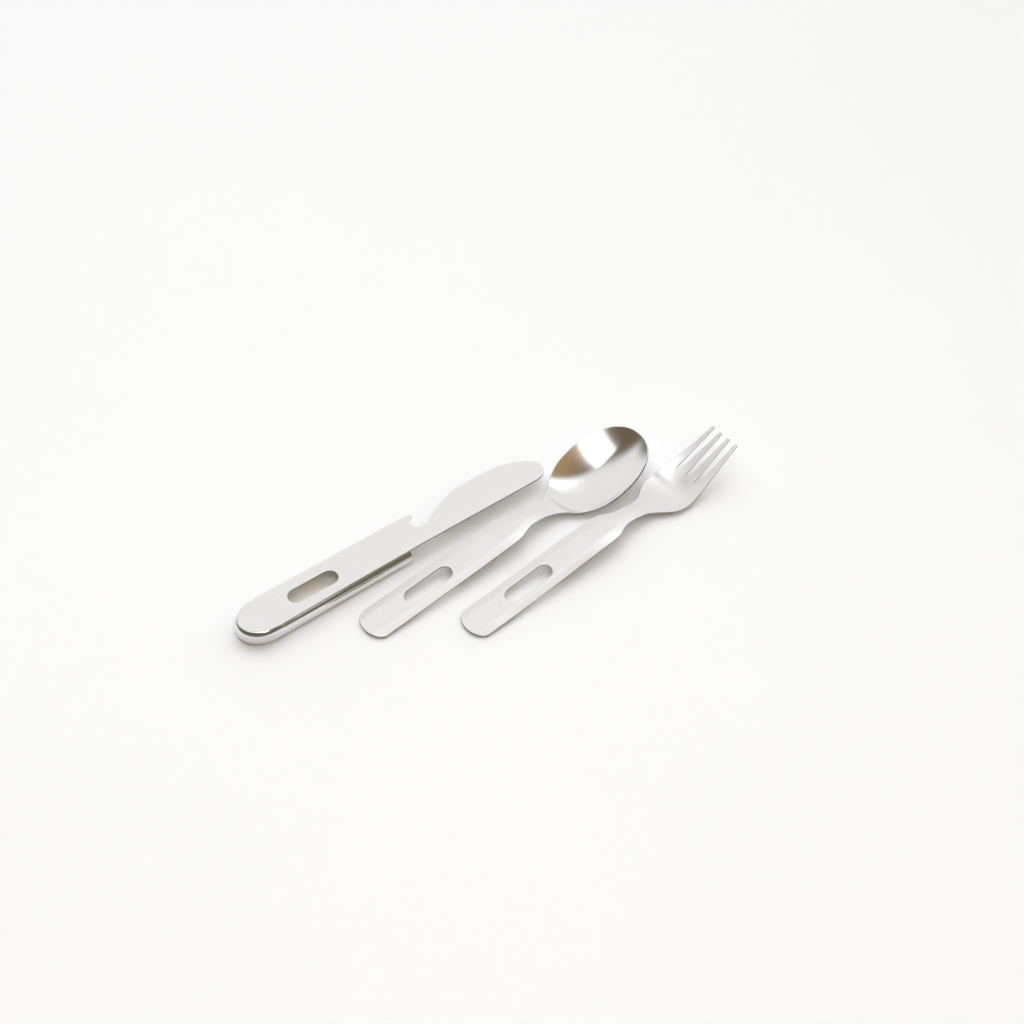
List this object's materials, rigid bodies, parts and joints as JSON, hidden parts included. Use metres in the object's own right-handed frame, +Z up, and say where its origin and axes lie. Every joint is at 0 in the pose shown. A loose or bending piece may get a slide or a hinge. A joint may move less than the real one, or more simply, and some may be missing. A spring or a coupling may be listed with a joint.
{
  "type": "picnic cutlery set",
  "caption": "Picnic cutlery laid out: flat knife with a bottle opener and a tray-shaped sleeve under its handle, spoon and fork, all pressed steel with slotted handles.",
  "frame": {"origin": "middle of the laid-out set's footprint, on the surface it lies on", "axes": "+X along the knife from butt to tip, +Y away from the fork towards the knife, +Z up"},
  "size_m": [0.284, 0.0878, 0.0189],
  "materials": {
    "satin_steel": "satin",
    "bright_steel": "polished"
  },
  "bodies": {
    "knife": {"knife_blade": "satin_steel", "knife_sleeve": "bright_steel"},
    "spoon": {"spoon": "bright_steel"},
    "fork": {"fork": "satin_steel"}
  },
  "joints": [
    {"name": "spoon_lift", "type": "slide", "parent": "knife", "child": "spoon", "axis": [0, 0, 1], "range_m": [0, 0.15]},
    {"name": "fork_lift", "type": "slide", "parent": "knife", "child": "fork", "axis": [0, 0, 1], "range_m": [0, 0.15]}
  ]
}
